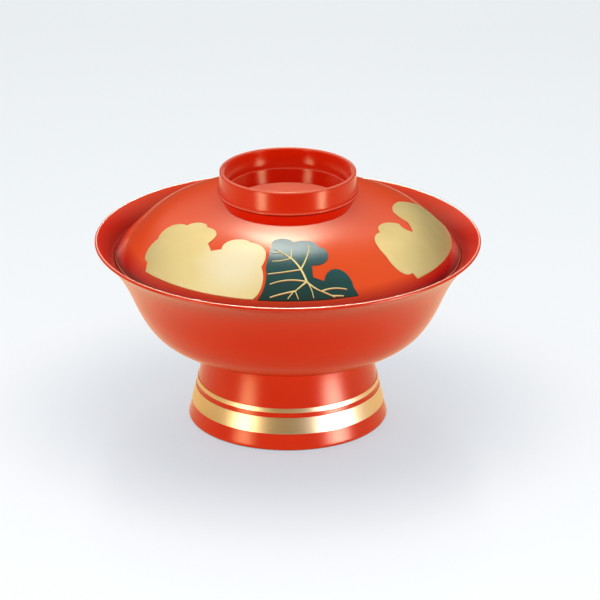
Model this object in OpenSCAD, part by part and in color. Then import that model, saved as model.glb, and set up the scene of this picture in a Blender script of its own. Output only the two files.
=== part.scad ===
// Lidded lacquer soup bowl on a high foot. Millimetres, +Z up, origin at the
// centre of the foot's resting ring, and the leaves face -Y.

/* [Bowl] */
// Outside diameter of the rim
rim_d = 136; // [120:1:150]
// Height of the bowl from its seat on the foot to the top of the rim
bowl_h = 38.7; // [32:0.1:46]
// Radial width of the flare, from the upright wall out to the rim
flare_w = 12.4; // [9:0.1:16]
// Height of the flare below the rim
flare_h = 18.7; // [14:0.1:22]
// Slope of the wall where the belly turns into the flare, in degrees
wall_slope = 67; // [58:1:76]
// Slope of the flare at the rim, in degrees
rim_slope = 39; // [32:1:46]
// Slope of the underside where it leaves the foot, in degrees
under_slope = 10; // [4:1:18]
// How far the belly is drawn out towards its corner
belly_fullness = 0.85; // [0.6:0.01:0.95]
// How far the flare is drawn out towards its corner
flare_fullness = 0.67; // [0.5:0.01:0.9]
// Thickness of the rim's lip
lip_t = 1.2; // [1:0.05:2]
// Thickness of the wall where the belly turns into the flare
wall_t = 2; // [1.5:0.1:3]
// Thickness of the bowl's floor
floor_t = 5; // [3.5:0.1:7]

/* [Foot] */
// Height of the foot, from the table to its seat under the bowl
foot_h = 28; // [20:0.5:36]
// Outside diameter of the foot at the table
foot_base_d = 71.2; // [64:0.2:78]
// Outside diameter of the foot under the bowl
foot_top_d = 60; // [54:0.2:64]
// Sharpness of the foot's sweep, with 1 for a plain cone
foot_sweep = 1.5; // [1:0.1:2.5]
// Thickness of the foot's wall
foot_wall = 3.6; // [2.5:0.1:5]
// Radius of the foot's rounded edges at the table
foot_round = 0.8; // [0.4:0.1:1.2]
// Width of the ledge of the bowl's underside around the foot
seat_ledge = 0.4; // [0.2:0.1:1]
// Depth of the spigot that centres the foot on the bowl
spigot_h = 1.2; // [0.6:0.1:3]
// Radial glue gap around a spigot
glue_gap = 0.1; // [0.05:0.01:0.2]

/* [Foot bands] */
// Height of the wide band's lower edge above the table
wide_band_z = 5.8; // [4:0.1:7]
// Width of the wide band, measured upright
wide_band_h = 5.6; // [4:0.1:6.5]
// Height of the thin band's lower edge above the table
thin_band_z = 13.1; // [12.6:0.1:16]
// Width of the thin band, measured upright
thin_band_h = 1.5; // [0.8:0.1:2.5]

/* [Lid] */
// Height of the lid's crown above the lid's seat in the flare
lid_h = 18.4; // [15:0.1:24]
// Depth of the lid's seat below the top of the rim
lid_drop = 6; // [5:0.1:8]
// Gap between the lid's lip and the bowl
lid_gap = 0.2; // [0.1:0.05:0.4]
// Slope of the dome where it leaves the crown, in degrees
crown_slope = 2.5; // [1:0.5:8]
// Slope of the dome at the lip, in degrees
dome_slope = 47; // [42:1:60]
// How far the dome is drawn out towards its corner
dome_fullness = 0.985; // [0.6:0.005:1]
// Thickness of the lid at the crown
lid_t = 2.4; // [1.8:0.1:3.5]
// Thickness of the lid's lip
lid_lip_t = 1.4; // [1:0.1:2]

/* [Knob] */
// Height of the ring knob above the crown
knob_h = 12.9; // [10:0.1:16]
// Outside diameter of the knob's upper band
knob_d = 48; // [44:0.2:54]
// Outside diameter of the knob where it stands on the crown
knob_base_d = 44; // [40:0.2:47]
// Thickness of the knob's lip
knob_t = 1.5; // [1.2:0.1:2]
// Height of the bead above the crown
bead_z = 5; // [4:0.1:7]
// How far the bead stands out from the upper band
bead_out = 0.85; // [0.5:0.05:1.5]
// Radius of the bead's edge
bead_r = 0.4; // [0.25:0.05:0.5]
// Angle that the bead's rounded edge turns through on each side, in degrees
bead_turn = 60; // [45:5:75]
// Height of the cove that runs from the bead up to the band
cove_h = 1.5; // [0.8:0.1:2]
// How far the cove and the dished inside are drawn out towards their corners
cove_fullness = 0.7; // [0.5:0.01:0.9]
// Inside diameter of the knob at the crown
throat_d = 39.8; // [36:0.2:42]
// Inside diameter of the knob at the ledge inside it
ledge_d = 42.2; // [38:0.2:44]
// Width of the ledge inside the knob
ledge_w = 0.3; // [0.2:0.05:0.5]
// Height of the ledge above the bead
ledge_h = 0.7; // [0:0.1:1]
// Slope of the dished inside where it leaves the ledge, in degrees
dish_slope = 55; // [40:1:70]
// Width of the crown's level rim around the knob
crown_ledge = 0.2; // [0.1:0.1:3]
// Height of the pad that centres the knob on the crown
pad_h = 0.9; // [0.3:0.1:1.5]

/* [Raised lacquer] */
// Thickness of a raised layer
layer_t = 0.2; // [0.1:0.05:0.4]
// Gap kept under a raised layer
layer_gap = 0.02; // [0.01:0.01:0.05]
// Width of the plain border between the leaves and the lid's edge
art_border = 3.4; // [3:0.1:6]
// Width of the stem that the veins grow from
stem_w = 0.65; // [0.4:0.05:1.4]
// Width of a branch where it leaves the stem
branch_w = 0.5; // [0.3:0.05:1.2]
// Width of a side vein where it starts
side_w = 0.3; // [0.2:0.05:0.8]
// Width of a vein at its tip
vein_tip_w = 0.2; // [0.15:0.05:0.6]

/* [Hidden] */
$fn = 144;

lacquer_red = "#d9472b";
gold = "#dcc070";
leaf_green = "#2d5f5a";

// Segments in a long curve and in a rounded edge
curve_n = 24;
edge_n = 8;

// Unit vector at an angle, a point's left-hand side, and a line from p to q
function ray(a) = [cos(a), sin(a)];
function left(v) = [-v.y, v.x] / norm(v);
function mix(p, q, t) = p + (q - p) * t;

// Where the line from p at angle a meets the line from q at angle b
function corner(p, a, q, b) = p + cross(q - p, ray(b)) / sin(b - a) * ray(a);

// Curve from p at angle a to q at angle b, drawn out towards the corner of its tangents
function bend(p, a, q, b, fullness) =
    let (c = corner(p, a, q, b), h = mix(p, c, fullness), k = mix(q, c, fullness))
    [for (i = [0:curve_n]) let (t = i / curve_n)
        pow(1 - t, 3) * p + 3 * pow(1 - t, 2) * t * h + 3 * (1 - t) * t * t * k + pow(t, 3) * q];

// Points moved to the left of their curve, by t0 at its start and t1 at its end
function shifted(pts, t0, t1) =
    let (last = len(pts) - 1)
    [for (i = [0:last])
        let (along = pts[min(i + 1, last)] - pts[max(i - 1, 0)])
        pts[i] + left(along) * (t0 + (t1 - t0) * i / last)];

// Arc about c from angle a to angle b
function arc(c, r, a, b) = [for (i = [0:edge_n]) c + r * ray(a + (b - a) * i / edge_n)];

// Arc from p up to q that stands out by sag on its left
function lobe(p, q, sag) =
    abs(sag) < 0.01 ? [p] :
    let (half = 2 * atan(2 * sag / norm(q - p)), dir = atan2(q.y - p.y, q.x - p.x))
    [for (i = [0:edge_n - 1])
        let (u = i / edge_n)
        p + norm(q - p) * sin(half * u) / sin(half) * ray(dir + half * (1 - u))];

function reversed(pts) = [for (i = [len(pts) - 1:-1:0]) pts[i]];

// Bowl: the outside runs from the foot's seat over the belly and the flare to the lip
rim_r = rim_d / 2;
rim_z = foot_h + bowl_h;
foot_top_r = foot_top_d / 2;
seat_r = foot_top_r + seat_ledge;
turn = [rim_r - flare_w, rim_z - flare_h];
lip_edge = [rim_r - lip_t / 2 * (1 - sin(rim_slope)), rim_z - lip_t / 2 * (1 + cos(rim_slope))];
belly = bend([seat_r, foot_h], under_slope, turn, wall_slope, belly_fullness);
flare = bend(turn, wall_slope, lip_edge, rim_slope, flare_fullness);
inner_belly = shifted(belly, floor_t, wall_t);
inner_flare = shifted(flare, wall_t, lip_t);
lip_mid = lip_edge + left(ray(rim_slope)) * lip_t / 2;

// Foot: its outside radius at a height above the table
function foot_r(z) =
    foot_top_r + (foot_base_d - foot_top_d) / 2 * pow(1 - z / foot_h, foot_sweep);
foot_side = [for (i = [0:curve_n])
    let (z = foot_round + (foot_h - foot_round) * i / curve_n) [foot_r(z), z]];
spigot_r = foot_top_r - foot_wall - glue_gap;

// Lid: the middle of its rounded lip lies over the seat in the bowl's flare
flare_table = [for (p = inner_flare) [p.y, p.x]];
lid_seat_z = rim_z - lid_drop;
seat_rise = 0.5;
seat_slope = atan2(2 * seat_rise,
    lookup(lid_seat_z + seat_rise, flare_table) - lookup(lid_seat_z - seat_rise, flare_table));
lid_lip_mid = [lookup(lid_seat_z, flare_table), lid_seat_z]
    + left(ray(seat_slope)) * (lid_lip_t / 2 + lid_gap);
lid_r = lid_lip_mid.x + lid_lip_t / 2;
crown_z = lid_seat_z + lid_h;
knob_base_r = knob_base_d / 2;
crown_r = knob_base_r + crown_ledge;
dome_edge = lid_lip_mid + left(ray(-dome_slope)) * lid_lip_t / 2;
dome = bend([crown_r, crown_z], -crown_slope, dome_edge, -dome_slope, dome_fullness);
inner_dome = shifted(dome, -lid_t, -lid_lip_t);

// Knob: the pad stands inside the ring and centres it
knob_r = knob_d / 2;
throat_r = throat_d / 2;
ledge_r = ledge_d / 2;
pad_r = throat_r - glue_gap;

// Leaves: the points below are drawn for a border of this radius and scaled to fit the lid.
// Each entry is a point and how far the edge to the next point bulges outwards.
drawn_r = 57.3;
art_r = lid_r - art_border;
art_scale = art_r / drawn_r;
left_leaf_pts = [
    [-50, -36, 0], [-49.2, -32.4, 0], [-48.3, -26.5, 2.4], [-44.9, -19.7, 3.4], [-34.7, -18.1, 2.9],
    [-27.8, -21.4, 3.1], [-27.3, -32.8, 0], [-26.2, -37.1, 0], [-22.6, -37.5, 3.8], [-12.6, -35.3, 3.2],
    [-9, -47.6, 1], [-9.7, -54.5, 0.4], [-13.2, -56.3, 0], [-18, -60, 0], [-36, -52, 0]];
green_leaf_pts = [
    [-12.4, -59.5, 0], [-10.3, -56.5, -1.3], [-7.5, -47.9, -0.3], [-5.6, -36.8, 3.4],
    [1.9, -35.9, 2.7], [10.3, -38.3, 2], [12.8, -45.1, 0.5], [8.1, -46.9, 0], [8.6, -50.7, 0],
    [12.3, -51.2, 4.1], [22.3, -50.4, 0], [26.8, -54.9, 0], [7, -61.5, 0]];
right_leaf_pts = [
    [48, -37.4, 0], [42.6, -35.7, 2.4], [33.7, -35.9, 2.9], [31.7, -24.1, 3.4], [38.5, -15.2, -1.5],
    [43.3, -17, 0], [41.7, -11.9, 0.7], [36.7, -5.3, 1.1], [38.9, 5.7, 0], [44.2, 9.2, 1.2],
    [52, 13, 0.8], [60, 13.5, 0], [64, -10, 0], [58, -32, 0]];

// Widths of the three kinds of vein at the start and at the end
stem = [stem_w, branch_w];
branch = [branch_w, vein_tip_w];
side = [side_w, vein_tip_w];

// Veins of the green leaf: start, end, how far the line between bulges to its left, and the kind
vein_root = [6.4, -52.3];
vein_lines = [
    [vein_root, [1.1, -45], -0.4, stem], [[1.1, -45], [-4.5, -40.5], 0, branch],
    [[1.1, -45], [1.1, -40.4], -0.1, side], [[1.1, -45], [-5.3, -46], 0.4, side],
    [[-2.5, -42.2], [-5.4, -42.6], 0, side], [[4.4, -48.9], [7.1, -37.7], -0.9, branch],
    [[4.4, -48.9], [-6.8, -50.1], 0.3, side], [vein_root, [-6.1, -53], -0.5, side],
    [vein_root, [2.5, -55], 0, branch], [[2.5, -55], [-6.1, -56.4], 0, side],
    [[1.8, -55.2], [0, -57], 0, side], [[2.5, -55], [3.6, -57], 0, side],
    [vein_root, [8.7, -56.3], 0.4, side], [vein_root, [11.4, -54.2], -0.3, branch],
    [[11.4, -54.2], [16, -54.9], 0, side], [[11.4, -54.2], [20, -51.9], 0.4, side],
    [[14.9, -54.8], [18.9, -53.9], 0, side]];

module turned(pts) {
    rotate_extrude() polygon(pts);
}

// Layer that lies on the dome over a flat outline, with its underside at a height above the dome
module dome_layer(under) {
    intersection() {
        turned(concat(shifted(dome, under, under), reversed(shifted(dome, under + layer_t, under + layer_t))));
        linear_extrude(crown_z + 2 * layer_t + under)
            intersection() {
                circle(art_r);
                scale(art_scale) children();
            }
    }
}

module leaf_outline(pts) {
    polygon([for (i = [0:len(pts) - 1])
        let (p = pts[i], q = pts[(i + 1) % len(pts)])
        each lobe([p.x, p.y], [q.x, q.y], p.z)]);
}

module vein_outline(p, q, sag, w) {
    middle = concat(lobe(p, q, sag), [q]);
    polygon(concat(shifted(middle, w[0] / 2, w[1] / 2), reversed(shifted(middle, -w[0] / 2, -w[1] / 2))));
}

// Layer that lies on the foot between two heights
module foot_band(z, h) {
    band = [for (i = [0:curve_n]) let (y = z + h * i / curve_n) [foot_r(y), y]];
    turned(concat(shifted(band, -layer_gap, -layer_gap),
        reversed(shifted(band, -layer_gap - layer_t, -layer_gap - layer_t))));
}

module bowl_body() {
    color(lacquer_red) turned(concat(
        [[0, foot_h - spigot_h], [spigot_r, foot_h - spigot_h], [spigot_r, foot_h]],
        belly, flare,
        arc(lip_mid, lip_t / 2, rim_slope - 90, rim_slope + 90),
        reversed(inner_flare), reversed(inner_belly),
        [[0, inner_belly[0].y]]));
}

module foot() {
    base_r = foot_r(foot_round);
    bore_r = foot_top_r - foot_wall;
    base_bore_r = base_r - foot_wall - foot_round;
    color(lacquer_red) turned(concat(
        arc([base_bore_r + foot_round, foot_round], foot_round, 180, 270),
        arc([base_r - foot_round, foot_round], foot_round, -90, 0),
        foot_side,
        [[bore_r, foot_h]]));
}

module foot_wide_band() {
    color(gold) foot_band(wide_band_z, wide_band_h);
}

module foot_thin_band() {
    color(gold) foot_band(thin_band_z, thin_band_h);
}

module lid_dome() {
    color(lacquer_red) turned(concat(
        [[0, crown_z - lid_t]],
        inner_dome,
        reversed(arc(lid_lip_mid, lid_lip_t / 2, 90 - dome_slope, -90 - dome_slope)),
        reversed(dome),
        [[pad_r, crown_z], [pad_r, crown_z + pad_h], [0, crown_z + pad_h]]));
}

module lid_knob() {
    bead = arc([knob_r + bead_out - bead_r, bead_z], bead_r, -bead_turn, bead_turn);
    lip_z = knob_h - knob_t / 2;
    ledge_z = bead_z + ledge_h;
    color(lacquer_red) translate([0, 0, crown_z]) turned(concat(
        [[throat_r, 0], [knob_base_r, 0]],
        bead,
        bend(bead[edge_n], 180 - bead_turn / 4, [knob_r, bead_z + cove_h], 90, cove_fullness),
        arc([knob_r - knob_t / 2, lip_z], knob_t / 2, 0, 180),
        reversed(bend([ledge_r + ledge_w, ledge_z], dish_slope, [knob_r - knob_t, lip_z], 90, cove_fullness)),
        [[ledge_r, ledge_z]]));
}

module left_gold_leaf() {
    color(gold) dome_layer(layer_gap) leaf_outline(left_leaf_pts);
}

module green_leaf() {
    color(leaf_green) dome_layer(layer_gap) leaf_outline(green_leaf_pts);
}

module green_leaf_veins() {
    color(gold) dome_layer(2 * layer_gap + layer_t)
        for (v = vein_lines) vein_outline(v[0], v[1], v[2], v[3]);
}

module right_gold_leaf() {
    color(gold) dome_layer(layer_gap) leaf_outline(right_leaf_pts);
}

bowl_body();
foot();
foot_wide_band();
foot_thin_band();
lid_dome();
lid_knob();
left_gold_leaf();
green_leaf();
green_leaf_veins();
right_gold_leaf();
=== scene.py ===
import math
import bmesh
import bpy
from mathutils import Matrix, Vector
from mathutils.geometry import interpolate_bezier


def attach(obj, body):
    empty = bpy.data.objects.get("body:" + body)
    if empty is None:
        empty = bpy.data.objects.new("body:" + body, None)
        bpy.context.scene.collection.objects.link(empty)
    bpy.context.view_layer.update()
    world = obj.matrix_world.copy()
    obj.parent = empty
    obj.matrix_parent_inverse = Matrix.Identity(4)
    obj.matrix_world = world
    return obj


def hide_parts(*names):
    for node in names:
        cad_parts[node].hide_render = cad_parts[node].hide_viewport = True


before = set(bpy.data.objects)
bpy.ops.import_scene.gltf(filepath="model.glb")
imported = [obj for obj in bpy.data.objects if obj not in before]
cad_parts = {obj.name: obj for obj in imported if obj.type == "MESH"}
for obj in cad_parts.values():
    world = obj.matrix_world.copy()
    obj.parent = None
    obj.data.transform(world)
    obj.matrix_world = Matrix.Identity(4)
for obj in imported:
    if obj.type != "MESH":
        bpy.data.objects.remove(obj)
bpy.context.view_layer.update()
scene = bpy.context.scene
mm = 0.001
weldDistance = 1e-7
cutSlack = 1e-5  # how near to a corner a cut may pass and still use that corner
mixFactor, mixA, mixB, mixResult = 0, 6, 7, 2  # colour sockets of a Mix node
print("frame loaded:", len(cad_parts), "nodes")


# Colours and nodes
def linearColour(hexText):
    parts = [int(hexText[i:i + 2], 16) / 255 for i in (1, 3, 5)]
    return [c / 12.92 if c <= 0.04045 else ((c + 0.055) / 1.055) ** 2.4 for c in parts] + [1.0]


def addNode(tree, kind, values=None, links=None, **settings):
    node = tree.nodes.new(kind)
    for name, value in settings.items():
        setattr(node, name, value)
    for socket, value in (values or {}).items():
        node.inputs[socket].default_value = value
    for socket, source in (links or {}).items():
        tree.links.new(source, node.inputs[socket])
    return node


def newMaterial(name):
    material = bpy.data.materials.new(name)
    material.use_nodes = True
    tree = material.node_tree
    tree.nodes.clear()
    where = addNode(tree, "ShaderNodeTexCoord").outputs["Object"]
    return material, tree, where


# Sprayed vermilion lacquer on turned wood: a deep even red with a faint orange peel, polished on the bowl,
# foot and knob, and rubbed down to a paler satin on the dome so that the ornament reads
# the last two colours are a painted deep shade and a painted highlight
lacquer = {"cloudSize": 22, "peelSize": 3.5, "peelDepth": 0.012, "peelStrength": 0.25, "ior": 1.45,
           "deepestPaintedShade": "#5e0814", "thin": "#fbd2ae"}


def vermilion(name, deepRed, red, paintedShadeRed, smoothest, roughest, glossTint):
    material, tree, where = newMaterial(name)
    cloud = addNode(tree, "ShaderNodeTexNoise", {"Scale": 1 / (lacquer["cloudSize"] * mm), "Detail": 3.0},
                    {"Vector": where})
    tint = addNode(tree, "ShaderNodeMix", {mixA: linearColour(deepRed), mixB: linearColour(red)},
                   {mixFactor: cloud.outputs["Fac"]}, data_type="RGBA")
    # painted light and shade set along the profile: a painted shade at -1, a nearly black painted shade at -2
    # and a painted highlight at 1
    paintedLightAndShade = addNode(tree, "ShaderNodeAttribute", attribute_name="paintedLightAndShade").outputs["Fac"]
    for none, full, colour in ((0, -1, paintedShadeRed), (-1, -2, lacquer["deepestPaintedShade"]), (0, 1, lacquer["thin"])):
        paintedAmount = addNode(tree, "ShaderNodeMapRange", {"From Min": none, "From Max": full}, {"Value": paintedLightAndShade})
        tint = addNode(tree, "ShaderNodeMix", {mixB: linearColour(colour)},
                       {mixFactor: paintedAmount.outputs[0], mixA: tint.outputs[mixResult]}, data_type="RGBA")
    polish = addNode(tree, "ShaderNodeMapRange", {"To Min": smoothest, "To Max": roughest},
                     {"Value": cloud.outputs["Fac"]})
    peel = addNode(tree, "ShaderNodeTexNoise", {"Scale": 1 / (lacquer["peelSize"] * mm), "Detail": 1.0},
                   {"Vector": where})
    skin = addNode(tree, "ShaderNodeBump",
                   {"Strength": lacquer["peelStrength"], "Distance": lacquer["peelDepth"] * mm},
                   {"Height": peel.outputs["Fac"]})
    gloss = addNode(tree, "ShaderNodeBsdfPrincipled",
                    {"IOR": lacquer["ior"], "Specular Tint": linearColour(glossTint)},
                    {"Base Color": tint.outputs[mixResult], "Roughness": polish.outputs[0],
                     "Normal": skin.outputs[0]})
    addNode(tree, "ShaderNodeOutputMaterial", links={"Surface": gloss.outputs[0]})
    return material


# each red lacquer has its own red for the painted shade
polishedLacquer = vermilion("polishedVermilionLacquer", deepRed="#e42204", red="#ec2806", paintedShadeRed="#7c0a12",
                            smoothest=0.19, roughest=0.25, glossTint="#fff0a8")
satinLacquer = vermilion("satinVermilionLacquer", deepRed="#ee4818", red="#f44e1c", paintedShadeRed="#cc060a",
                         smoothest=0.17, roughest=0.21, glossTint="#ffe3a4")

# Gold powder sprinkled in wet lacquer: a soft metal sheen with a fine grain and cloudy density, burnished on
# the foot, matt on the leaves and palest on the veins
powder = {"cloudSize": 9, "grainSize": 0.55, "grainDepth": 0.02, "grainStrength": 0.3, "thin": "#f6eccc",
          "thinPlace": (-17, -43, 74), "thinRadius": 18, "thinCore": 3}


def goldPowder(name, gold, lightGold, smoothest, roughest):
    material, tree, where = newMaterial(name)
    cloud = addNode(tree, "ShaderNodeTexNoise", {"Scale": 1 / (powder["cloudSize"] * mm), "Detail": 4.0},
                    {"Vector": where})
    tint = addNode(tree, "ShaderNodeMix", {mixA: linearColour(gold), mixB: linearColour(lightGold)},
                   {mixFactor: cloud.outputs["Fac"]}, data_type="RGBA")
    # a painted highlight: paler gold on one lobe of the left leaf
    away = addNode(tree, "ShaderNodeVectorMath", {1: Vector(powder["thinPlace"]) * mm}, {0: where},
                   operation="DISTANCE")
    thin = addNode(tree, "ShaderNodeMapRange",
                   {"From Min": powder["thinRadius"] * mm, "From Max": powder["thinCore"] * mm},
                   {"Value": away.outputs["Value"]}, interpolation_type="SMOOTHSTEP")
    tint = addNode(tree, "ShaderNodeMix", {mixB: linearColour(powder["thin"])},
                   {mixFactor: thin.outputs[0], mixA: tint.outputs[mixResult]}, data_type="RGBA")
    # real powder is about 0.05 mm, drawn coarser here so that it shows
    grain = addNode(tree, "ShaderNodeTexNoise", {"Scale": 1 / (powder["grainSize"] * mm), "Detail": 2.0},
                    {"Vector": where})
    satin = addNode(tree, "ShaderNodeMapRange", {"To Min": smoothest, "To Max": roughest},
                    {"Value": grain.outputs["Fac"]})
    skin = addNode(tree, "ShaderNodeBump",
                   {"Strength": powder["grainStrength"], "Distance": powder["grainDepth"] * mm},
                   {"Height": grain.outputs["Fac"]})
    sheen = addNode(tree, "ShaderNodeBsdfPrincipled", {"Metallic": 1.0},
                    {"Base Color": tint.outputs[mixResult], "Roughness": satin.outputs[0],
                     "Normal": skin.outputs[0]})
    addNode(tree, "ShaderNodeOutputMaterial", links={"Surface": sheen.outputs[0]})
    return material


burnishedGold = goldPowder("burnishedGoldPowder", "#dcb87c", "#e8ca96", smoothest=0.34, roughest=0.43)
mattGold = goldPowder("mattGoldPowder", "#ead492", "#f4e6ae", smoothest=0.46, roughest=0.56)
paleGold = goldPowder("paleGoldPowder", "#fff0a8", "#fff6c0", smoothest=0.46, roughest=0.56)

# Dark green lacquer brushed on by hand: a softer polish, with thin and thick strokes showing as light and
# dark, and darker towards the border
# the thick colour is the darker green towards the border
enamel = {"green": "#1c5f61", "darkGreen": "#134744", "thick": "#0c3328", "darkFrom": -58, "darkTo": -46,
          "strokeSize": 6, "strokeStretch": (0.5, 1.0, 1.0), "smoothest": 0.36, "roughest": 0.42,
          "specular": 0.25}
greenLacquer, greenTree, onLeaf = newMaterial("greenLacquer")
stretch = addNode(greenTree, "ShaderNodeMapping", {"Scale": enamel["strokeStretch"]}, {"Vector": onLeaf})
stroke = addNode(greenTree, "ShaderNodeTexNoise", {"Scale": 1 / (enamel["strokeSize"] * mm), "Detail": 3.0},
                 {"Vector": stretch.outputs[0]})
strokeTint = addNode(greenTree, "ShaderNodeMix",
                     {mixA: linearColour(enamel["darkGreen"]), mixB: linearColour(enamel["green"])},
                     {mixFactor: stroke.outputs["Fac"]}, data_type="RGBA")
upLeaf = addNode(greenTree, "ShaderNodeSeparateXYZ", links={0: onLeaf}).outputs["Y"]
thinning = addNode(greenTree, "ShaderNodeMapRange",
                   {"From Min": enamel["darkFrom"] * mm, "From Max": enamel["darkTo"] * mm},
                   {"Value": upLeaf})
leafTint = addNode(greenTree, "ShaderNodeMix", {mixA: linearColour(enamel["thick"])},
                   {mixFactor: thinning.outputs[0], mixB: strokeTint.outputs[mixResult]}, data_type="RGBA")
leafPolish = addNode(greenTree, "ShaderNodeMapRange",
                     {"To Min": enamel["smoothest"], "To Max": enamel["roughest"]},
                     {"Value": stroke.outputs["Fac"]})
leafGloss = addNode(greenTree, "ShaderNodeBsdfPrincipled",
                    {"IOR": lacquer["ior"], "Specular IOR Level": enamel["specular"]},
                    {"Base Color": leafTint.outputs[mixResult], "Roughness": leafPolish.outputs[0]})
addNode(greenTree, "ShaderNodeOutputMaterial", links={"Surface": leafGloss.outputs[0]})
print("materials made")


# Profile lines, in millimetres as (radius, height)
def ray(degrees):
    return Vector((math.cos(math.radians(degrees)), math.sin(math.radians(degrees))))


def cross2(a, b):
    return a.x * b.y - a.y * b.x


# Curve that leaves p at one angle and reaches q at another, drawn out towards the corner of the two tangents
def bend(p, startAngle, q, endAngle, fullness, steps):
    p, q = Vector(p), Vector(q)
    turn = math.sin(math.radians(endAngle - startAngle))
    corner = p + ray(startAngle) * (cross2(q - p, ray(endAngle)) / turn)
    return interpolate_bezier(p, p.lerp(corner, fullness), q.lerp(corner, fullness), q, steps + 1)


# Line moved to its left, by one distance at its start and another at its end
def offsetLine(points, startShift, endShift):
    last = len(points) - 1
    moved = []
    for i, point in enumerate(points):
        along = (points[min(i + 1, last)] - points[max(i - 1, 0)]).normalized()
        shift = startShift + (endShift - startShift) * i / last
        moved.append(point + Vector((-along.y, along.x)) * shift)
    return moved


def roundEdge(centre, radius, startAngle, endAngle, steps=10):
    angles = [startAngle + (endAngle - startAngle) * i / steps for i in range(steps + 1)]
    return [Vector(centre) + ray(angle) * radius for angle in angles]


# Value of a line of (place, value) pairs at a place
def valueAt(line, place):
    for p, q in zip(line, line[1:]):
        if min(p[0], q[0]) <= place <= max(p[0], q[0]) and p[0] != q[0]:
            return p[1] + (q[1] - p[1]) * (place - p[0]) / (q[0] - p[0])
    return line[0][1] if abs(place - line[0][0]) < abs(place - line[-1][0]) else line[-1][1]


# Points of a profile, each with its painted light and shade on the lacquer
def section(points, paintedLightAndShade=0):
    return [(p, paintedLightAndShade(p) if callable(paintedLightAndShade) else paintedLightAndShade) for p in points]


def finishPiece(name, bm, material, body, node, creaseAngle=35):
    mesh = bpy.data.meshes.new(name)
    bm.to_mesh(mesh)
    bm.free()
    mesh.shade_smooth()
    mesh.set_sharp_from_angle(angle=math.radians(creaseAngle))
    mesh.materials.append(material)
    piece = bpy.data.objects.new(name, mesh)
    scene.collection.objects.link(piece)
    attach(piece, body)
    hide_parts(node)
    return piece


# Turns a profile about the upright axis, the way the wood was turned
def turnedPiece(name, profile, material, body, node, closed=False, steps=192):
    bm = bmesh.new()
    paintedLightLayer = bm.verts.layers.float.new("paintedLightAndShade")
    line = []
    for (radius, height), paintedLightAndShade in profile:
        line.append(bm.verts.new((radius * mm, 0, height * mm)))
        line[-1][paintedLightLayer] = paintedLightAndShade
    ends = line[1:] + line[:1] if closed else line[1:]
    edges = [bm.edges.new(pair) for pair in zip(line, ends)]
    bmesh.ops.spin(bm, geom=line + edges, axis=(0, 0, 1), cent=(0, 0, 0), angle=2 * math.pi, steps=steps,
                   use_merge=True, use_duplicate=False)
    bmesh.ops.remove_doubles(bm, verts=bm.verts, dist=weldDistance)
    bmesh.ops.recalc_face_normals(bm, faces=bm.faces)
    return finishPiece(name, bm, material, body, node)


# Bowl with a thin everted lip
bowl = {"rimRadius": 68, "rimHeight": 66.7, "seatRadius": 30.4, "seatHeight": 28, "flareWidth": 12.4,
        "flareHeight": 18.7, "underAngle": 10, "wallAngle": 67, "rimAngle": 39, "bellyFullness": 0.85,
        "flareFullness": 0.67, "bellySteps": 44, "flareSteps": 32, "lip": 1.2, "wall": 2, "floor": 5,
        "spigotRadius": 26.3, "spigotDepth": 1.2}
halfLip = bowl["lip"] / 2
wallTurn = Vector((bowl["rimRadius"] - bowl["flareWidth"], bowl["rimHeight"] - bowl["flareHeight"]))
rimRay = ray(bowl["rimAngle"])
lipEdge = Vector((bowl["rimRadius"] - halfLip * (1 - rimRay.y), bowl["rimHeight"] - halfLip * (1 + rimRay.x)))
belly = bend((bowl["seatRadius"], bowl["seatHeight"]), bowl["underAngle"], wallTurn, bowl["wallAngle"],
             bowl["bellyFullness"], bowl["bellySteps"])
flare = bend(wallTurn, bowl["wallAngle"], lipEdge, bowl["rimAngle"], bowl["flareFullness"], bowl["flareSteps"])
innerBelly = offsetLine(belly, bowl["floor"], bowl["wall"])
innerFlare = offsetLine(flare, bowl["wall"], bowl["lip"])
lipMiddle = lipEdge + Vector((-rimRay.y, rimRay.x)) * halfLip
lipArc = roundEdge(lipMiddle, halfLip, bowl["rimAngle"] - 90, bowl["rimAngle"] + 90)[1:-1]
spigotZ = bowl["seatHeight"] - bowl["spigotDepth"]
floorZ = innerBelly[0].y
# painted shade by the foot, under the lip and around the lid's seat, and a painted highlight along the lip's
# top: set by height outside, point by point round the lip, and by radius inside
outsidePaintedShade = [(36, -0.12), (44, 0), (58, 0), (63, -0.2), (67, -0.2)]
rimShadeAndHighlight = [-0.2, -0.2, 0, 0, 0, 0.1, 0.3, 0.3, 0.1]
seatPaintedShade = [(55, 0), (59, -0.55), (62, -0.55), (66.8, 0)]
bowlProfile = section([(0, spigotZ), (bowl["spigotRadius"], spigotZ)])
bowlProfile += section([(bowl["spigotRadius"], bowl["seatHeight"])])
bowlProfile += section(belly + flare[1:], lambda p: valueAt(outsidePaintedShade, p.y)) + list(zip(lipArc, rimShadeAndHighlight))
bowlProfile += section(innerFlare[::-1], lambda p: valueAt(seatPaintedShade, p.x))
bowlProfile += section(innerBelly[-2::-1] + [(innerBelly[0].x / 2, floorZ), (0, floorZ)])
bowlBody = turnedPiece("bowlBody", bowlProfile, polishedLacquer, "bowl", "bowl_body")

# High flared foot, hollow underneath
foot = {"height": 28, "baseRadius": 35.6, "topRadius": 30, "sweep": 1.5, "wall": 3.6, "edgeRadius": 0.8,
        "sideSteps": 40, "edgePaintedShade": -1}


def footRadius(z):
    flareShare = (1 - z / foot["height"]) ** foot["sweep"]
    return foot["topRadius"] + (foot["baseRadius"] - foot["topRadius"]) * flareShare


# Points up the outside of the foot
def footSide(bottom, height, steps):
    levels = [bottom + height * i / steps for i in range(steps + 1)]
    return [Vector((footRadius(z), z)) for z in levels]


edge = foot["edgeRadius"]
baseRadius = footRadius(edge)
boreRadius = baseRadius - foot["wall"] - edge
footProfile = section(roundEdge((boreRadius + edge, edge), edge, 180, 270))
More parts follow.
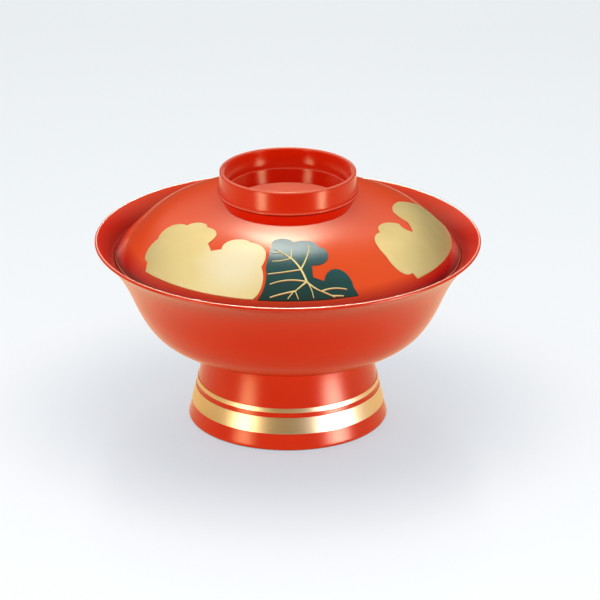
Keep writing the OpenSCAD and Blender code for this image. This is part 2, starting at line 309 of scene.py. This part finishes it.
# painted shade where the edge turns under
footProfile += section(roundEdge((baseRadius - edge, edge), edge, -90, 0),
                       lambda p: foot["edgePaintedShade"] if p.y < edge / 2 else 0)
footProfile += section(footSide(edge, foot["height"] - edge, foot["sideSteps"])[1:])
footProfile += section([(foot["topRadius"] - foot["wall"], foot["height"])])
footPieces = [turnedPiece("foot", footProfile, polishedLacquer, "bowl", "foot",
                          closed=True)]

# Raised layers of lacquer, and the foot's two gold bands: bottom, height and node
layer = {"thick": 0.2, "gap": 0.02}
bands = {"footWideBand": (5.8, 5.6, "foot_wide_band"), "footThinBand": (13.1, 1.5, "foot_thin_band")}
bandSteps = 12
for name, (bottom, height, node) in bands.items():
    under = footSide(bottom, height, bandSteps)
    inside, outside = -layer["gap"], -layer["gap"] - layer["thick"]
    bandProfile = section(offsetLine(under, inside, inside) + offsetLine(under, outside, outside)[::-1])
    footPieces.append(turnedPiece(name, bandProfile, burnishedGold, "bowl", node, closed=True))
print("bowl and foot made")

# Domed lid that sits inside the flare
lid = {"seatDrop": 6, "seatReach": 0.5, "rise": 18.4, "gap": 0.2, "crownAngle": 2.5, "edgeAngle": 47,
       "fullness": 0.985, "domeSteps": 64, "thick": 2.4, "lip": 1.4, "crownRadius": 22.2, "padRadius": 19.8,
       "padHeight": 0.9}
seatZ = bowl["rimHeight"] - lid["seatDrop"]
flareLine = [(p.y, p.x) for p in innerFlare]
seatRun = valueAt(flareLine, seatZ + lid["seatReach"]) - valueAt(flareLine, seatZ - lid["seatReach"])
seatRay = Vector((seatRun, 2 * lid["seatReach"])).normalized()
halfLid = lid["lip"] / 2
lidLip = Vector((valueAt(flareLine, seatZ), seatZ)) + Vector((-seatRay.y, seatRay.x)) * (halfLid + lid["gap"])
edgeRay = ray(-lid["edgeAngle"])
crownZ = seatZ + lid["rise"]
innerCrownZ = crownZ - lid["thick"]
padTop = crownZ + lid["padHeight"]
domeEdge = lidLip + Vector((-edgeRay.y, edgeRay.x)) * halfLid
dome = bend((lid["crownRadius"], crownZ), -lid["crownAngle"], domeEdge, -lid["edgeAngle"], lid["fullness"],
            lid["domeSteps"])
innerDome = offsetLine(dome, -lid["thick"], -lid["lip"])
lidLipArc = roundEdge(lidLip, halfLid, -90 - lid["edgeAngle"], 90 - lid["edgeAngle"])[1:-1]
# painted shade deepening towards the border by radius, and a painted highlight on the last points round the
# lip
borderPaintedShade = [(55.5, 0), (58, -0.7), (59.2, -1), (60.2, -1.8)]
lidLipPaintedHighlight = [0, 0, 0, 0, 0, 0, 0.4, 0.9, 0.7]
lidProfile = section([(0, innerCrownZ), (innerDome[0].x / 2, innerCrownZ)] + innerDome)
lidProfile += list(zip(lidLipArc, lidLipPaintedHighlight)) + section(dome[::-1], lambda p: valueAt(borderPaintedShade, p.x))
lidProfile += section([(lid["padRadius"], crownZ), (lid["padRadius"], padTop)])
lidProfile += section([(lid["padRadius"] / 2, padTop), (0, padTop)])
lidDome = turnedPiece("lidDome", lidProfile, satinLacquer, "lid", "lid_dome")

# Ring knob with a bead and a cove round its outside and a ledge inside
knob = {"height": 12.9, "radius": 24, "baseRadius": 22, "lip": 1.5, "lipSteps": 16, "lipPaintedHighlight": 0.15,
        "beadHeight": 5, "beadOut": 0.85, "beadRadius": 0.4, "beadTurn": 60, "coveAngle": 165,
        "coveHeight": 1.5, "coveFullness": 0.7, "coveSteps": 10, "throatRadius": 19.9, "ledgeRadius": 21.1,
        "ledgeWidth": 0.3, "ledgeHeight": 0.7, "dishAngle": 55, "dishSteps": 20, "plainShare": 0.85}
beadZ = crownZ + knob["beadHeight"]
halfKnobLip = knob["lip"] / 2
lipTop = Vector((knob["radius"] - halfKnobLip, crownZ + knob["height"] - halfKnobLip))
ledge = Vector((knob["ledgeRadius"], beadZ + knob["ledgeHeight"]))
bead = roundEdge((knob["radius"] + knob["beadOut"] - knob["beadRadius"], beadZ), knob["beadRadius"],
                 -knob["beadTurn"], knob["beadTurn"])
knobBase = Vector((knob["baseRadius"], crownZ))
cove = bend(bead[-1], knob["coveAngle"], (knob["radius"], beadZ + knob["coveHeight"]), 90,
            knob["coveFullness"], knob["coveSteps"])
dish = bend(ledge + Vector((knob["ledgeWidth"], 0)), knob["dishAngle"], lipTop - Vector((halfKnobLip, 0)), 90,
            knob["coveFullness"], knob["dishSteps"])
# plain up to a share of the way to the bead, painted shade under the bead, a painted highlight on the bead's
# top and on the lip
beadShadeAndHighlight = [(-0.05, -0.8), (0, 0), (0.05, 0.12)]
knobProfile = section([(knob["throatRadius"], crownZ), knobBase, knobBase.lerp(bead[0], knob["plainShare"])])
knobProfile += section(bead, lambda p: valueAt(beadShadeAndHighlight, p.y - beadZ)) + section(cove[1:])
knobProfile += section(roundEdge(lipTop, halfKnobLip, 0, 180, knob["lipSteps"]),
                       lambda p: knob["lipPaintedHighlight"] if p.y > lipTop.y + halfKnobLip / 2 else 0)
knobProfile += section(dish[-2::-1] + [ledge])
lidKnob = turnedPiece("lidKnob", knobProfile, polishedLacquer, "lid", "lid_knob",
                      closed=True)
# the crown and the pad mirror the light behind, not the knob
lidKnob.visible_glossy = False
print("lid and knob made")

# Leaves: corners in plan and how far the edge to the next corner bulges outwards, in millimetres, drawn for a
# border circle of one radius and scaled to the lid's own
ornament = {"border": 3.4, "drawnRadius": 57.3, "borderCuts": 180, "cell": 0.8}
borderRadius = lidLip.x + halfLid - ornament["border"]
leafScale = borderRadius / ornament["drawnRadius"]
leftLeaf = [(-50, -36, 0), (-49.2, -32.4, 0), (-48.3, -26.5, 2.4), (-44.9, -19.7, 3.4), (-34.7, -18.1, 2.9),
            (-27.8, -21.4, 3.1), (-27.3, -32.8, 0), (-26.2, -37.1, 0), (-22.6, -37.5, 3.8),
            (-12.6, -35.3, 3.2), (-9, -47.6, 1), (-9.7, -54.5, 0.4), (-13.2, -56.3, 0), (-18, -60, 0),
            (-36, -52, 0)]
greenLeaf = [(-12.4, -59.5, 0), (-10.3, -56.5, -1.3), (-7.5, -47.9, -0.3), (-5.6, -36.8, 3.4),
             (1.9, -35.9, 2.7), (10.3, -38.3, 2), (12.8, -45.1, 0.5), (8.1, -46.9, 0), (8.6, -50.7, 0),
             (12.3, -51.2, 4.1), (22.3, -50.4, 0), (26.8, -54.9, 0), (7, -61.5, 0)]
rightLeaf = [(48, -37.4, 0), (42.6, -35.7, 2.4), (33.7, -35.9, 2.9), (31.7, -24.1, 3.4), (38.5, -15.2, -1.5),
             (43.3, -17, 0), (41.7, -11.9, 0.7), (36.7, -5.3, 1.1), (38.9, 5.7, 0), (44.2, 9.2, 1.2),
             (52, 13, 0.8), (60, 13.5, 0), (64, -10, 0), (58, -32, 0)]


# Arc from p up to q that stands out by the sag on its left
def lobe(p, q, sag, steps=10, straight=0.01):
    p, q = Vector(p), Vector(q)
    if abs(sag) < straight:
        return [p]
    span = (q - p).length
    half = 2 * math.atan(2 * sag / span)
    heading = math.atan2(q.y - p.y, q.x - p.x)
    points = []
    for i in range(steps):
        reach = span * math.sin(half * i / steps) / math.sin(half)
        points.append(p + ray(math.degrees(heading + half * (1 - i / steps))) * reach)
    return points


def leafOutline(corners):
    points = []
    for (x, y, sag), following in zip(corners, corners[1:] + corners[:1]):
        points += lobe((x, y), following[:2], sag)
    return points


def cut(bm, place, facing, dropBeyond=False):
    bmesh.ops.bisect_plane(bm, geom=bm.verts[:] + bm.edges[:] + bm.faces[:], dist=cutSlack, plane_co=place,
                           plane_no=facing, clear_outer=dropBeyond)


# Lays flat outlines on the dome as a thin layer: cut to the border circle and into a fine grid, then doubled
# and lifted
def layerPiece(name, outlines, lift, material, node):
    bm = bmesh.new()
    for outline in outlines:
        bm.faces.new([bm.verts.new((p.x * leafScale, p.y * leafScale, 0)) for p in outline])
    for i in range(ornament["borderCuts"]):
        out = ray(360 * i / ornament["borderCuts"])
        cut(bm, (out.x * borderRadius, out.y * borderRadius, 0), (out.x, out.y, 0), dropBeyond=True)
    for axis in (0, 1):
        low = min(v.co[axis] for v in bm.verts)
        high = max(v.co[axis] for v in bm.verts)
        across = Vector((axis == 0, axis == 1, 0))
        for i in range(1, int((high - low) / ornament["cell"]) + 1):
            cut(bm, across * (low + ornament["cell"] * i), across)
    bmesh.ops.triangulate(bm, faces=[f for f in bm.faces if len(f.verts) > 4])
    # the copied faces go on top and the first ones stay underneath
    copied = set(bmesh.ops.extrude_face_region(bm, geom=bm.faces[:])["geom"])
    under = offsetLine(dome, lift, lift)
    top = offsetLine(dome, lift + layer["thick"], lift + layer["thick"])
    for v in bm.verts:
        height = valueAt(top if v in copied else under, math.hypot(v.co.x, v.co.y))
        v.co = Vector((v.co.x, v.co.y, height)) * mm
    bmesh.ops.recalc_face_normals(bm, faces=bm.faces)
    return finishPiece(name, bm, material, "lid", node)


leftGoldLeaf = layerPiece("leftGoldLeaf", [leafOutline(leftLeaf)], layer["gap"], mattGold,
                          "left_gold_leaf")
greenLeafPiece = layerPiece("greenLeaf", [leafOutline(greenLeaf)], layer["gap"], greenLacquer,
                            "green_leaf")
rightGoldLeaf = layerPiece("rightGoldLeaf", [leafOutline(rightLeaf)], layer["gap"], mattGold,
                           "right_gold_leaf")

# Veins of the green leaf: start, end, sag and kind of each tapered stroke, and each kind's widths at both ends
vein = {"stem": (0.65, 0.5), "branch": (0.5, 0.2), "side": (0.3, 0.2)}
root = (6.4, -52.3)
greenVeins = [(root, (1.1, -45), -0.4, "stem"), ((1.1, -45), (-4.5, -40.5), 0, "branch"),
              ((1.1, -45), (1.1, -40.4), -0.1, "side"), ((1.1, -45), (-5.3, -46), 0.4, "side"),
              ((-2.5, -42.2), (-5.4, -42.6), 0, "side"), ((4.4, -48.9), (7.1, -37.7), -0.9, "branch"),
              ((4.4, -48.9), (-6.8, -50.1), 0.3, "side"), (root, (-6.1, -53), -0.5, "side"),
              (root, (2.5, -55), 0, "branch"), ((2.5, -55), (-6.1, -56.4), 0, "side"),
              ((1.8, -55.2), (0, -57), 0, "side"), ((2.5, -55), (3.6, -57), 0, "side"),
              (root, (8.7, -56.3), 0.4, "side"), (root, (11.4, -54.2), -0.3, "branch"),
              ((11.4, -54.2), (16, -54.9), 0, "side"), ((11.4, -54.2), (20, -51.9), 0.4, "side"),
              ((14.9, -54.8), (18.9, -53.9), 0, "side")]


def veinOutline(p, q, sag, kind):
    middle = lobe(p, q, sag) + [Vector(q)]
    first, last = vein[kind]
    return offsetLine(middle, first / 2, last / 2) + offsetLine(middle, -first / 2, -last / 2)[::-1]


layerPiece("greenLeafVeins", [veinOutline(*line) for line in greenVeins], 2 * layer["gap"] + layer["thick"],
           paleGold, "green_leaf_veins")
print("leaves made")

# Plain pale floor, which the gloss mirrors as a warm white, and which ends where the gloss should mirror
# something dark: half its width, its two ends and how far it lies below the foot are in metres
floorPaper = {"halfWidth": 4, "frontEnd": -0.28, "backEnd": 0.7, "drop": 0.0002, "mottleScale": 3.0,
              "offWhite": "#eaf0f6", "white": "#edf3f9", "unseen": "#d4d8dc", "roughness": 0.6,
              "paintedShadowNearBowl": "#d6e6ee", "farOff": "#fafdff", "mirrored": "#ffe4b4",
              "backdropShare": 0.55, "mirroredShare": 0.25}
floorMaterial, floorTree, onFloor = newMaterial("floorPaper")
floorRays = addNode(floorTree, "ShaderNodeLightPath").outputs
mottle = addNode(floorTree, "ShaderNodeTexNoise", {"Scale": floorPaper["mottleScale"]}, {"Vector": onFloor})
white = addNode(floorTree, "ShaderNodeMix",
                {mixA: linearColour(floorPaper["offWhite"]), mixB: linearColour(floorPaper["white"])},
                {mixFactor: mottle.outputs["Fac"]}, data_type="RGBA")
paper = addNode(floorTree, "ShaderNodeMix", {mixA: linearColour(floorPaper["unseen"])},
                {mixFactor: floorRays["Is Camera Ray"], mixB: white.outputs[mixResult]}, data_type="RGBA")
matt = addNode(floorTree, "ShaderNodeBsdfPrincipled", {"Roughness": floorPaper["roughness"]},
               {"Base Color": paper.outputs[mixResult]})
# part of what the camera and reflections see is a plain pale backdrop, which thins the shadow but keeps it
# a painted shadow on this backdrop: darker and cooler near the bowl, plain pale further off
away = addNode(floorTree, "ShaderNodeVectorMath", links={0: onFloor}, operation="LENGTH")
outOfPaintedShadow = addNode(floorTree, "ShaderNodeMapRange", {"From Min": 0.05, "From Max": 0.12},
                  {"Value": away.outputs["Value"]}, interpolation_type="SMOOTHSTEP")
paintedShadowTint = addNode(floorTree, "ShaderNodeMix",
               {mixA: linearColour(floorPaper["paintedShadowNearBowl"]), mixB: linearColour(floorPaper["farOff"])},
               {mixFactor: outOfPaintedShadow.outputs[0]}, data_type="RGBA")
pale = addNode(floorTree, "ShaderNodeMix", {mixB: linearColour(floorPaper["mirrored"])},
               {mixFactor: floorRays["Is Glossy Ray"], mixA: paintedShadowTint.outputs[mixResult]}, data_type="RGBA")
# it pales towards the front, and the gloss mirrors it brighter beside the bowl and darker behind
depth = addNode(floorTree, "ShaderNodeSeparateXYZ", links={0: onFloor}).outputs["Y"]
seenGlow = addNode(floorTree, "ShaderNodeMapRange",
                   {"From Min": -0.15, "From Max": 0.45, "To Min": 1.14, "To Max": 0.81}, {"Value": depth})
beside = addNode(floorTree, "ShaderNodeMapRange",
                 {"From Min": -0.07, "From Max": 0.02, "To Min": 0.95, "To Max": 1.3}, {"Value": depth})
behind = addNode(floorTree, "ShaderNodeMapRange",
                 {"From Min": 0.25, "From Max": 0.5, "To Min": 1.0, "To Max": 0.2}, {"Value": depth})
mirroredGlow = addNode(floorTree, "ShaderNodeMath", links={0: beside.outputs[0], 1: behind.outputs[0]},
                       operation="MULTIPLY")
floorGlow = addNode(floorTree, "ShaderNodeMapRange", links={"Value": floorRays["Is Glossy Ray"],
                    "To Min": seenGlow.outputs[0], "To Max": mirroredGlow.outputs[0]})
backdrop = addNode(floorTree, "ShaderNodeEmission",
                   links={"Color": pale.outputs[mixResult], "Strength": floorGlow.outputs[0]})
lookedAt = addNode(floorTree, "ShaderNodeMath", operation="MAXIMUM",
                   links={0: floorRays["Is Camera Ray"], 1: floorRays["Is Glossy Ray"]})
shown = addNode(floorTree, "ShaderNodeMath", operation="MAXIMUM",
                links={0: lookedAt.outputs[0], 1: floorRays["Is Transmission Ray"]})
share = addNode(floorTree, "ShaderNodeMath", {1: floorPaper["backdropShare"]}, {0: shown.outputs[0]},
                operation="MULTIPLY")
glossShare = addNode(floorTree, "ShaderNodeMath", {1: floorPaper["mirroredShare"]},
                     {0: floorRays["Is Glossy Ray"], 2: share.outputs[0]}, operation="MULTIPLY_ADD")
floorFace = addNode(floorTree, "ShaderNodeMixShader",
                    links={0: glossShare.outputs[0], 1: matt.outputs[0], 2: backdrop.outputs[0]})
addNode(floorTree, "ShaderNodeOutputMaterial", links={"Surface": floorFace.outputs[0]})
floorShape = bmesh.new()
bmesh.ops.create_grid(floorShape, x_segments=1, y_segments=1, size=floorPaper["halfWidth"])
cut(floorShape, (0, floorPaper["frontEnd"], 0), (0, -1, 0), dropBeyond=True)
cut(floorShape, (0, floorPaper["backEnd"], 0), (0, 1, 0), dropBeyond=True)
floorMesh = bpy.data.meshes.new("floor")
floorShape.to_mesh(floorMesh)
floorShape.free()
floorMesh.materials.append(floorMaterial)
floor = bpy.data.objects.new("floor", floorMesh)
floor.location = (0, 0, -floorPaper["drop"])
scene.collection.objects.link(floor)

# Soft studio light: a world that is bright overhead and dark round the sides, plain white to the camera
studio = {"overhead": (-0.1, 0.15, 1.0), "white": "#fafeff", "mirrored": "#fff5e6"}
world = bpy.data.worlds.new("studio")
scene.world = world
world.use_nodes = True
worldTree = world.node_tree
worldRays = addNode(worldTree, "ShaderNodeLightPath").outputs
heading = addNode(worldTree, "ShaderNodeTexCoord").outputs["Generated"]
upward = addNode(worldTree, "ShaderNodeVectorMath", {1: studio["overhead"]}, {0: heading},
                 operation="DOT_PRODUCT")
skyLevel = addNode(worldTree, "ShaderNodeMapRange",
                   {"From Min": 0.42, "From Max": 0.64, "To Min": 0.08, "To Max": 1.1},
                   {"Value": upward.outputs["Value"]})
seenLevel = addNode(worldTree, "ShaderNodeMath", links={0: skyLevel.outputs[0], 1: worldRays["Is Camera Ray"]},
                    operation="MAXIMUM")
sky = addNode(worldTree, "ShaderNodeMix",
              {mixA: linearColour(studio["white"]), mixB: linearColour(studio["mirrored"])},
              {mixFactor: worldRays["Is Glossy Ray"]}, data_type="RGBA")
background = worldTree.nodes["Background"]
worldTree.links.new(sky.outputs[mixResult], background.inputs["Color"])
worldTree.links.new(seenLevel.outputs[0], background.inputs["Strength"])


def softbox(name, place, target, width, height, power, colour="#ffffff"):
    light = bpy.data.lights.new(name, "AREA")
    light.color = linearColour(colour)[:3]
    light.shape = "RECTANGLE"
    light.size = width
    light.size_y = height
    light.energy = power
    lamp = bpy.data.objects.new(name, light)
    lamp.location = place
    lamp.rotation_euler = (Vector(target) - Vector(place)).to_track_quat("-Z", "Y").to_euler()
    lamp.visible_camera = False
    scene.collection.objects.link(lamp)
    return lamp


# Fades a lamp towards its edges across each axis, over a share of its size
def softenSides(lamp, fades):
    lamp.data.use_nodes = True
    tree = lamp.data.node_tree
    place = addNode(tree, "ShaderNodeNewGeometry").outputs["Parametric"]
    across = addNode(tree, "ShaderNodeSeparateXYZ", links={0: place}).outputs
    strength = tree.nodes["Emission"].inputs["Strength"]
    for axis, fade in fades.items():
        # from 0 at both edges to 0.5 in the middle
        inward = addNode(tree, "ShaderNodeMath", {1: 0.5}, {0: across[axis]}, operation="PINGPONG")
        level = addNode(tree, "ShaderNodeMapRange", {"From Max": fade}, {"Value": inward.outputs[0]},
                        interpolation_type="SMOOTHSTEP")
        if strength.is_linked:
            before = strength.links[0].from_socket
            level = addNode(tree, "ShaderNodeMath", links={0: level.outputs[0], 1: before},
                            operation="MULTIPLY")
        tree.links.new(level.outputs[0], strength)


def onlyFor(lamp, pieces):
    lit = bpy.data.collections.new(lamp.name + "Shown")
    for piece in pieces:
        lit.objects.link(piece)
    lamp.light_linking.receiver_collection = lit


def glossOnly(lamp, pieces, acrossX=0.45, **fades):
    lamp.visible_diffuse = False
    softenSides(lamp, {"X": acrossX, **fades})
    onlyFor(lamp, pieces)


# Lamps, in metres and watts
bowlAndFoot = footPieces + [bowlBody]
lowAim, highAim = (0, 0, 0.04), (0, 0, 0.08)
backStrip = softbox("backStrip", (-0.008, 0.72, 0.77), highAim, 0.08, 0.6, 2.15, "#fff7e8")
frontFill = softbox("frontFill", (0.0, -0.9, 0.14), lowAim, 1.8, 0.3, 4.4)
leftFill = softbox("leftFill", (-0.9, -0.2, 0.14), lowAim, 0.6, 0.3, 1.0)
rightFill = softbox("rightFill", (0.9, -0.2, 0.14), lowAim, 0.6, 0.3, 1.3)
# the fills give light but don't show in the gloss
for fill in (frontFill, leftFill, rightFill):
    fill.visible_glossy = False

# Strips close to the bowl that only show in the gloss of some pieces: turn from the front, width, bottom, top,
# power, colour, pieces
stripReach = 0.16
knobAndGold = [lidKnob, leftGoldLeaf, rightGoldLeaf]
strips = {"footLeft": (-47, 0.085, -0.02, 0.06, 0.22, "#ffffff", bowlAndFoot),
          "footRight": (54, 0.11, -0.02, 0.06, 1.05, "#c4d2ff", bowlAndFoot),
          "knobLeft": (-41, 0.06, -0.02, 0.11, 0.36, "#d0ecff", knobAndGold),
          "knobRight": (54, 0.06, -0.02, 0.11, 0.4, "#d0ecff", knobAndGold),
          "leafRight": (54, 0.11, -0.02, 0.11, 0.6, "#ffe4b0", [rightGoldLeaf])}
for name, (turn, width, bottom, top, power, colour, pieces) in strips.items():
    out = ray(turn - 90) * stripReach
    middle = (bottom + top) / 2
    strip = softbox(name, (out.x, out.y, middle), (0, 0, middle), width, top - bottom, power, colour)
    glossOnly(strip, pieces)

# Glows behind the bowl, each for the gloss of one piece
greenGlow = softbox("greenGlow", (-0.06, 0.6, 0.93), highAim, 0.34, 1.0, 54.0, "#f4f6f4")
glossOnly(greenGlow, [greenLeafPiece], Y=0.5)
leafGlow = softbox("leafGlow", (-0.008, 0.72, 0.77), highAim, 0.08, 0.6, 1.0, "#f4f8ff")
glossOnly(leafGlow, [leftGoldLeaf])
rimGlow = softbox("rimGlow", (0.0, 0.72, 0.77), highAim, 0.4, 0.6, 45.0)
glossOnly(rimGlow, [bowlBody])
# straight to the eye, not by way of the lid
rimGlow.data.cycles.max_bounces = 0
rimGlow.data.cycles.use_multiple_importance_sampling = False
# the gold on the lid is too matt to show the back strip
onlyFor(backStrip, bowlAndFoot + [lidDome, lidKnob, greenLeafPiece, floor])
# the knob throws no shadow in the glow on the dome and the leaves
blockers = bpy.data.collections.new("glowBlockers")
blockers.objects.link(lidDome)
for lamp in (backStrip, greenGlow, leafGlow):
    lamp.light_linking.blocker_collection = blockers

# Camera at the photograph's angle, with the frame's offset as a lens shift
camera = {"aim": (0, 0, 0.05), "pitch": 21.41, "distance": 1.4, "sensor": 36, "lens": 237.6,
          "shift": (0.0203, -0.0312)}
cameraData = bpy.data.cameras.new("camera")
cameraData.sensor_width = camera["sensor"]
cameraData.lens = camera["lens"]
cameraData.shift_x, cameraData.shift_y = camera["shift"]
pitch = math.radians(camera["pitch"])
eye = bpy.data.objects.new("camera", cameraData)
eye.location = Vector(camera["aim"]) + Vector((0, -math.cos(pitch), math.sin(pitch))) * camera["distance"]
eye.rotation_euler = (math.pi / 2 - pitch, 0, 0)
scene.collection.objects.link(eye)
scene.camera = eye
scene.view_settings.view_transform = "Standard"
print("stage, light and camera set")
